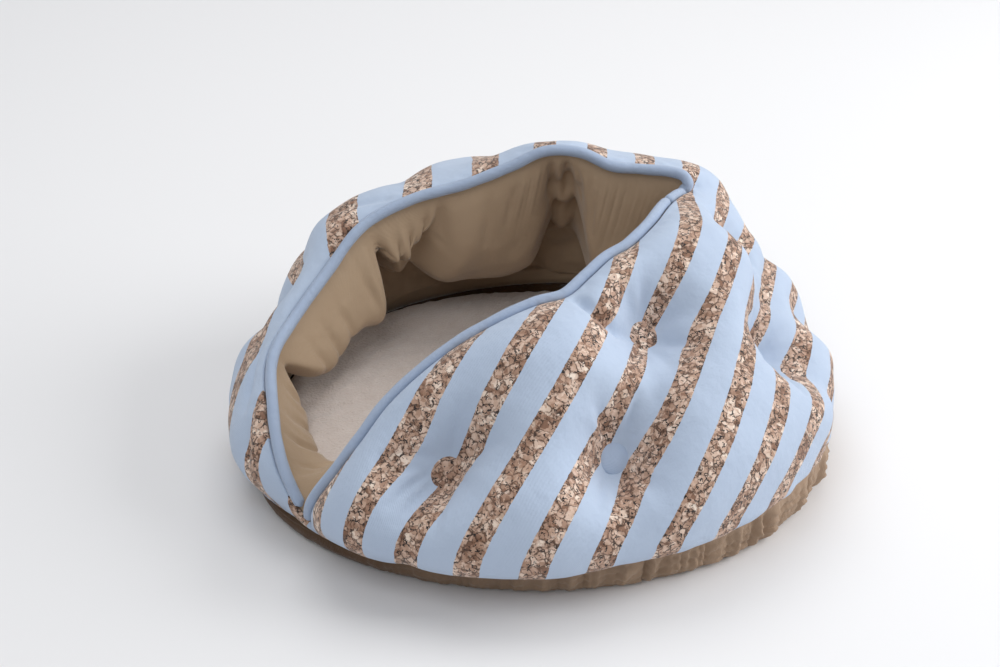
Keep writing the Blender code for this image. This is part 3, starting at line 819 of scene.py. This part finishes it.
# Gathers stand across the lip, where the lining was eased in to it, and small folds run from them
along_lip = np.tile(np.arange(WALL_COLUMNS) / WALL_COLUMNS, WALL_ROWS + 1)
ring_way = np.stack((np.cos(2 * math.pi * along_lip), np.sin(2 * math.pi * along_lip)), axis=1)
gather = uneven(ring_way, 0.075, 16) + 0.6 * uneven(ring_way, 0.035, 17)
here_and_there = np.clip(0.3 + 0.9 * uneven(middle, 0.09, 18), 0, 1.2)
gather = gather * np.exp(-((from_lip / GATHER_REACH) ** 1.5)) * here_and_there
gather *= 1 - 0.8 * np.exp(-(((flat_angle - 90) / 45) ** 2))
small_folds = GATHER_DEPTH * gather + free * LINING_RIPPLE * uneven(middle, 0.030, 14)
small_folds += free * tuft_wrinkles(flat, LINING_WRINKLE, 0.030, 15) * np.clip(lining_full * 4, 0, 1)
small_folds -= tucked(flat, LINING_TUCKS)
small_folds *= np.clip(from_lip / 0.005, 0, 1) * np.clip(from_seam / 0.010, 0, 1)
small_folds = np.maximum(small_folds, LEAST_PUFF - lining_puff)
lining_face = lining_face + skin_normal(lining_face, -normal) * small_folds[:, None]
lining_back = (middle_rings - normal_rings * SEAM_GAP)[back_pick[::-1]]
lining = rings_to_mesh(
    "lining_cloth",
    np.concatenate((lining_face.reshape(ring_shape), lining_back)),
    capped=False,
    cloth=np.concatenate((cover_cloth, cover_cloth_back)),
)
KHAKI_LIT = (0.51, 0.380, 0.260)
KHAKI_DEEP = (0.43, 0.310, 0.205)


def satin_finish():
    f = Finish("khaki_satin", roughness=0.44, sheen=0.35, sheen_roughness=0.35)
    f.colour(f.mix(f.noise(f.place(), 0.05, 3), (*KHAKI_LIT, 1), (*KHAKI_DEEP, 1)))
    weave = f.bump(f.weave(f.cloth(), 0.0009), 0.00006)
    f.normal(f.bump(f.noise(f.place(), 0.014, 2), 0.0010, weave))
    return f.material


lining.data.materials.append(satin_finish())
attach(lining, "root")
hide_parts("lining")

# Piping: a cord covered in plain blue cloth cut on the bias, sewn into the lip's seam.  It
# comes in two lengths, which meet at the mouth's front corner and at its far corner.
PIPING_RADIUS = 0.0046
PIPING_CLEAR = 0.0009
PIPING_MEETING = 50       # hem angle of the far corner, where the two lengths meet
PIPING_END_GAP = 0.0008
PIPING_WALL_END = 0.0015
PIPING_COLUMNS = 620
PIPING_SIDES = 28
PIPING_CORNER = 12 / 88   # of the lip's length, what lies beside the front corner
PIPING_LIT = (0.40, 0.485, 0.63)
PIPING_DEEP = (0.34, 0.42, 0.57)

lip_angle = np.linspace(-90, 270, PIPING_COLUMNS, endpoint=False)
lip = lip_at(lip_angle)
lip_line, lip_normal = wall_middle(lip[:, :2], np.zeros(len(lip)), lip[:, 2])
lip_run = np.roll(lip_line, -1, axis=0) - np.roll(lip_line, 1, axis=0)
toward_mouth = unit(np.cross(lip_normal, lip_run))
piping_line = lip_line + toward_mouth * (PIPING_RADIUS + PIPING_CLEAR)
meeting = round((PIPING_MEETING + 90) / 360 * PIPING_COLUMNS)
right_line = piping_line[: meeting + 1][::-1].copy()
left_line = piping_line[meeting:].copy()
left_line[0] += unit(left_line[1] - left_line[0]) * PIPING_END_GAP


def distance_to_line(point, line):
    run = line[1:] - line[:-1]
    share = np.einsum("ij,ij->i", point - line[:-1], run) / np.einsum("ij,ij->i", run, run)
    foot = line[:-1] + np.clip(share, 0, 1)[:, None] * run
    return np.linalg.norm(foot - point, axis=1).min()


def cut_back(line, obstacle, clearance):
    """Shortens a line's last end until it is clear of the obstacle."""
    while distance_to_line(line[-1], obstacle) < clearance:
        line = line[:-1]
    return line


corner_columns = round(PIPING_COLUMNS * PIPING_CORNER)
wall_end = PIPING_RADIUS + PIPING_WALL_END
right_line = cut_back(right_line, lip_line[-corner_columns:], wall_end)
left_line = cut_back(left_line, lip_line[:corner_columns], wall_end)
left_line = cut_back(left_line, right_line, 2 * PIPING_RADIUS + PIPING_CLEAR)


def piping_finish():
    f = Finish("bias_cloth", roughness=0.72, sheen=0.35, sheen_roughness=0.4)
    f.colour(f.mix(f.noise(f.place(), 0.03, 3), (*PIPING_LIT, 1), (*PIPING_DEEP, 1)))
    weave = f.bump(f.weave(f.cloth(), COTTON_WEAVE), 0.00012)
    f.normal(f.bump(f.noise(f.place(), 0.006, 3), 0.0010, weave))
    return f.material


bias_cloth = piping_finish()


def piping(name, line, node, seed):
    """A round cord along the line, a little uneven, with closed, rounded ends."""
    run = unit(np.gradient(line, axis=0))
    side = unit(np.cross(run, np.array((0.13, 0.21, 0.97))))
    top = np.cross(side, run)
    length = np.concatenate(([0], np.cumsum(np.linalg.norm(np.diff(line, axis=0), axis=1))))
    turn = np.linspace(0, 2 * math.pi, PIPING_SIDES, endpoint=False)
    radius = PIPING_RADIUS * (1 + 0.05 * uneven(line, 0.03, seed))
    ends = np.minimum(length, length[-1] - length)
    radius = radius * np.sqrt(np.clip(1 - (1 - np.clip(ends / PIPING_RADIUS, 0.02, 1)) ** 2, 0, 1))
    circle = side[:, None] * np.cos(turn)[None, :, None] + top[:, None] * np.sin(turn)[None, :, None]
    rings = line[:, None] + circle * radius[:, None, None]
    around = np.broadcast_to(turn * PIPING_RADIUS, (len(line), PIPING_SIDES))
    far = np.broadcast_to(length[:, None], around.shape)
    cloth = np.stack((around + far, far - around), axis=2).reshape(-1, 2) / math.sqrt(2)
    cord = rings_to_mesh(name, rings, capped=True, cloth=cloth)
    cord.data.materials.append(bias_cloth)
    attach(cord, "root")
    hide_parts(node)


piping("piping_right_cloth", right_line, "piping_right", 21)
piping("piping_left_cloth", left_line, "piping_left", 22)

# Buttons: shells covered in a scrap of the blue or the cork print, drawn down tight into the
# tufts by a thread through the wall.
BUTTON_RADIUS = 0.013
BUTTON_HALF_THICK = 0.0032
BUTTON_CLEAR = 0.0004
BUTTON_DROP = 0.080
SEATING = 32              # share in a hundred of the button's points that stand above the cloth
BUTTON_LIT = (0.41, 0.50, 0.65)
BUTTON_DEEP = (0.35, 0.44, 0.60)


def button_finish(name, cork):
    f = Finish(name, roughness=0.75, sheen=0.2)
    if cork:
        f.colour(cork_colour(f))
    else:
        f.colour(f.mix(f.noise(f.place(), 0.02, 3), (*BUTTON_LIT, 1), (*BUTTON_DEEP, 1)))
    weave = f.bump(f.weave(f.place(), COTTON_WEAVE), 0.00010)
    f.normal(f.bump(f.noise(f.place(), 0.008, 2), 0.0008, weave))
    return f.material


button_cloths = {
    "blue": button_finish("button_blue_cloth", cork=False),
    "cork": button_finish("button_cork_cloth", cork=True),
}
cover_skin = bmesh.new()
cover_skin.from_mesh(cover.data)
cover_tree = BVHTree.FromBMesh(cover_skin)
for tuft, (angle, distance, cloth_name, _) in TUFTS.items():
    spot = polar(angle, distance)[None, :]
    outward = Vector(dome_normal(spot)[0])
    turn = outward.to_track_quat("Z", "Y").to_matrix().to_4x4()
    build = bmesh.new()
    bmesh.ops.create_uvsphere(build, u_segments=48, v_segments=24, radius=BUTTON_RADIUS)
    flatten = Matrix.Diagonal((1, 1, BUTTON_HALF_THICK / BUTTON_RADIUS, 1))
    build.transform(Matrix.Translation(Vector(dome_point(spot)[0])) @ turn @ flatten)
    rises = []
    for vert in build.verts:
        hit = cover_tree.ray_cast(vert.co + outward * BUTTON_DROP, -outward)[0]
        if hit is not None:
            rises.append((hit - vert.co).dot(outward))
    build.transform(Matrix.Translation(outward * (float(np.percentile(rises, SEATING)) + BUTTON_CLEAR)))
    mesh = bpy.data.meshes.new("button_" + tuft + "_cloth")
    build.to_mesh(mesh)
    build.free()
    mesh.shade_smooth()
    button = bpy.data.objects.new(mesh.name, mesh)
    bpy.context.scene.collection.objects.link(button)
    button.data.materials.append(button_cloths[cloth_name])
    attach(button, "root")
    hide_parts("button_" + tuft)
cover_skin.free()

# Base: a round bag of plain brown cloth with its own thin filling, flat underneath, sewn up
# to the wall's seam and gathered on the side where its edge was eased in.
BASE_THICK = 0.016
BASE_REST_INSET = 0.010
BASE_BULGE = 0.0045
BASE_CLEAR = 0.0009
BASE_WALL = 0.006
BASE_COLUMNS = 900
PLEATS = 34
PLEAT_DEPTH = 0.0022
PLEAT_SIDE = math.radians(10)
RUCK_DEPTH = 0.0030
SIDE_CREASE = 0.0022
BROWN_LIT = (0.105, 0.058, 0.028)
BROWN_DEEP = (0.070, 0.035, 0.016)
# painted light: the lighter brown painted on the base's right side, where the key light falls
BROWN_PAINTED_LIGHT = (0.36, 0.250, 0.170)

round_angle = np.linspace(-math.pi, math.pi, BASE_COLUMNS, endpoint=False)
around = np.stack((np.cos(round_angle), np.sin(round_angle)), axis=1)
seam_z = seam_height(round_angle)
seam_r = seam_radius(round_angle)
tuck_in = wide_radius(round_angle) - seam_r
tangent_r = tuck_in * math.sin(TUCK_ANGLE) / (1 - math.cos(TUCK_ANGLE))
tangent_z = (WIDE_HEIGHT - seam_z) * math.cos(TUCK_ANGLE) / math.sin(TUCK_ANGLE)
size = np.hypot(tangent_r, tangent_z)
in_r = -tangent_r / size
in_z = -tangent_z / size
pleat_share = (0.5 + 0.5 * np.cos(round_angle - PLEAT_SIDE)) ** 2.5
ruck = uneven(around, 0.060, 41) + 0.8 * uneven(around, 0.028, 42)
pleat = pleat_share * (0.5 * PLEAT_DEPTH * np.cos(PLEATS * round_angle) + RUCK_DEPTH * ruck)


def ring(radius, height):
    radius = radius * np.ones(BASE_COLUMNS)
    height = height * np.ones(BASE_COLUMNS)
    return np.column_stack((around * radius[:, None], height))


seat_r = seam_r + in_r * BASE_CLEAR
seat_z = seam_z + in_z * BASE_CLEAR
rest_r = seam_r - BASE_REST_INSET
side_rings = []
for share in np.linspace(0, 1, 22):
    swell = math.sin(math.pi * min(share / 0.9, 1)) ** 0.7
    radius = rest_r + (seat_r - in_z * EDGE_HALF - rest_r) * share ** 0.5
    side_places = np.column_stack((around * 0.2, seam_z * share * 1.5))
    creased_side = SIDE_CREASE * pleat_share * uneven(side_places, 0.012, 43)
    radius = radius + (BASE_BULGE * 0.6 + pleat + creased_side) * swell
    side_rings.append(ring(radius, (seat_z + in_r * EDGE_HALF) * share ** 1.25))
base_rings = [ring(rest_r * 0.5, 0), ring(rest_r * 0.985, 0)] + side_rings
base_rings.append(ring(seat_r + in_z * EDGE_HALF, seat_z - in_r * EDGE_HALF))
base_rings.append(ring(seam_r - BASE_WALL, BASE_THICK))
base_rings.append(ring(seam_r * 0.5, BASE_THICK))
base = rings_to_mesh("base_cloth", np.array(base_rings), capped=True)


def base_finish():
    f = Finish("brown_cloth", roughness=0.75, sheen=0.15, sheen_roughness=0.4)
    # Painted light: the brown is painted lighter toward +x, the base's right side, where the key light
    # falls.
    side = f.node("SeparateXYZ", Vector=f.place()).outputs[0]
    painted_light_side = f.node("MapRange", Value=side, From_Min=0.02, From_Max=0.20).outputs[0]
    plain = f.mix(f.noise(f.place(), 0.03, 4), (*BROWN_DEEP, 1), (*BROWN_LIT, 1))
    f.colour(f.mix(painted_light_side, plain, (*BROWN_PAINTED_LIGHT, 1)))
    weave = f.bump(f.weave(f.place(), 0.0010), 0.00010)
    f.normal(f.bump(f.noise(f.place(), 0.008, 3), 0.0012, weave))
    return f.material


base.data.materials.append(base_finish())
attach(base, "root")
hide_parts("base")

# Mat: a round cushion of short beige plush that lies loose on the base and fills its floor.
MAT_INSET = 0.012
MAT_FRONT_REACH = 0.003
MAT_FRONT_DIP = 0.009     # the lining presses the rim down by the mouth's front corner
MAT_BOTTOM = BASE_THICK + 0.0006
MAT_RIM = 0.020
MAT_CROWN = 0.046
MAT_LUMPS = 0.0020
PILE_LUMPS = 0.0006
PLUSH_LIT = (0.70, 0.62, 0.57)
PLUSH_DEEP = (0.56, 0.47, 0.42)
near_front = np.exp(-(((round_angle + math.pi / 2) / 0.45) ** 2))
mat_r = seam_r - MAT_INSET + MAT_FRONT_REACH * near_front
mat_rim = MAT_RIM - MAT_FRONT_DIP * near_front
mat_rings = [ring(mat_r * 0.5, MAT_BOTTOM), ring(mat_r * 0.96, MAT_BOTTOM)]
for bend in np.linspace(0.15, 0.9, 8) * math.pi:
    mat_rings.append(ring(mat_r - 0.008 + 0.008 * math.sin(bend),
                          MAT_BOTTOM + mat_rim * (1 - math.cos(bend)) / 2))
for share in np.linspace(0.95, 0.01, 60):
    dome = MAT_BOTTOM + mat_rim + (MAT_CROWN - MAT_BOTTOM - mat_rim) * (1 - share ** 3)
    mat_rings.append(ring(mat_r * share, dome))
mat_rings = np.array(mat_rings)
mat_shape = mat_rings.shape
flat_points = mat_rings.reshape(-1, 3)
on_top = np.clip((flat_points[:, 2] - MAT_BOTTOM - 0.010) / 0.010, 0, 1)
lumps = MAT_LUMPS * uneven(flat_points, 0.08, 31) + PILE_LUMPS * uneven(flat_points, 0.012, 32)
flat_points[:, 2] += on_top * lumps
mat = rings_to_mesh("mat_plush_cloth", flat_points.reshape(mat_shape), capped=True)


def plush_finish():
    f = Finish("beige_plush", roughness=0.95, sheen=0.6, sheen_roughness=0.6)
    f.colour(f.mix(f.noise(f.place(), 0.012, 4), (*PLUSH_DEEP, 1), (*PLUSH_LIT, 1)))
    pile = f.bump(f.noise(f.place(), 0.0022, 4), 0.0015)
    f.normal(f.bump(f.noise(f.place(), 0.02, 3), 0.0020, pile))
    return f.material


mat.data.materials.append(plush_finish())
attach(mat, "root")
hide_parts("mat")

# Studio: a pale sweep of floor, wide soft lights overhead and at the sides, and the camera.
FLOOR_HALF = 6.0
floor_mesh = bpy.data.meshes.new("floor")
floor_mesh.from_pydata([(-FLOOR_HALF, -FLOOR_HALF, 0), (FLOOR_HALF, -FLOOR_HALF, 0),
                        (FLOOR_HALF, FLOOR_HALF, 0), (-FLOOR_HALF, FLOOR_HALF, 0)], [], [(0, 1, 2, 3)])
studio_floor = bpy.data.objects.new("floor", floor_mesh)
bpy.context.scene.collection.objects.link(studio_floor)
pale = Finish("pale_floor", roughness=0.8)
pale.colour((0.80, 0.80, 0.81, 1))
floor_mesh.materials.append(pale.material)

CAMERA_AZIMUTH = math.radians(48)
CAMERA_ELEVATION = math.radians(31.99)
CAMERA_DISTANCE = 1.6
CAMERA_AIM = Vector((0, 0, 0.09))
camera_back = Vector((math.sin(CAMERA_AZIMUTH) * math.cos(CAMERA_ELEVATION),
                      -math.cos(CAMERA_AZIMUTH) * math.cos(CAMERA_ELEVATION),
                      math.sin(CAMERA_ELEVATION)))
camera_right = Vector((math.cos(CAMERA_AZIMUTH), math.sin(CAMERA_AZIMUTH), 0))
camera_up = camera_back.cross(camera_right)


def soft_light(name, direction, distance, size, power):
    """A square soft box that faces the bed.  The direction is right, up and back of the camera."""
    way = camera_right * direction[0] + camera_up * direction[1] + camera_back * direction[2]
    way.normalize()
    lamp = bpy.data.lights.new(name, "AREA")
    lamp.shape = "SQUARE"
    lamp.size = size
    lamp.energy = power
    holder = bpy.data.objects.new(name, lamp)
    turn = way.to_track_quat("Z", "Y").to_matrix().to_4x4()
    holder.matrix_world = Matrix.Translation(way * distance) @ turn
    bpy.context.scene.collection.objects.link(holder)


soft_light("key", (0.95, 0.48, 0.22), 2.4, 1.6, 43)
soft_light("overhead", (-0.05, 0.95, 0.15), 2.4, 1.8, 19)
soft_light("front_fill", (-0.20, 0.40, 0.88), 3.0, 1.6, 16)
world = bpy.data.worlds.new("studio")
world.use_nodes = True
world.node_tree.nodes["Background"].inputs[0].default_value = (0.97, 0.98, 1.0, 1)
world.node_tree.nodes["Background"].inputs[1].default_value = 0.46
bpy.context.scene.world = world

camera_data = bpy.data.cameras.new("camera")
camera_data.lens = 70
camera_data.sensor_width = 36
camera_data.shift_x = -0.0331
camera_data.shift_y = 0.0171
camera = bpy.data.objects.new("camera", camera_data)
bpy.context.scene.collection.objects.link(camera)
stand = Matrix((camera_right, camera_up, camera_back)).transposed().to_4x4()
stand.translation = CAMERA_AIM + camera_back * CAMERA_DISTANCE
camera.matrix_world = stand
bpy.context.scene.camera = camera
bpy.context.scene.view_settings.view_transform = "Standard"
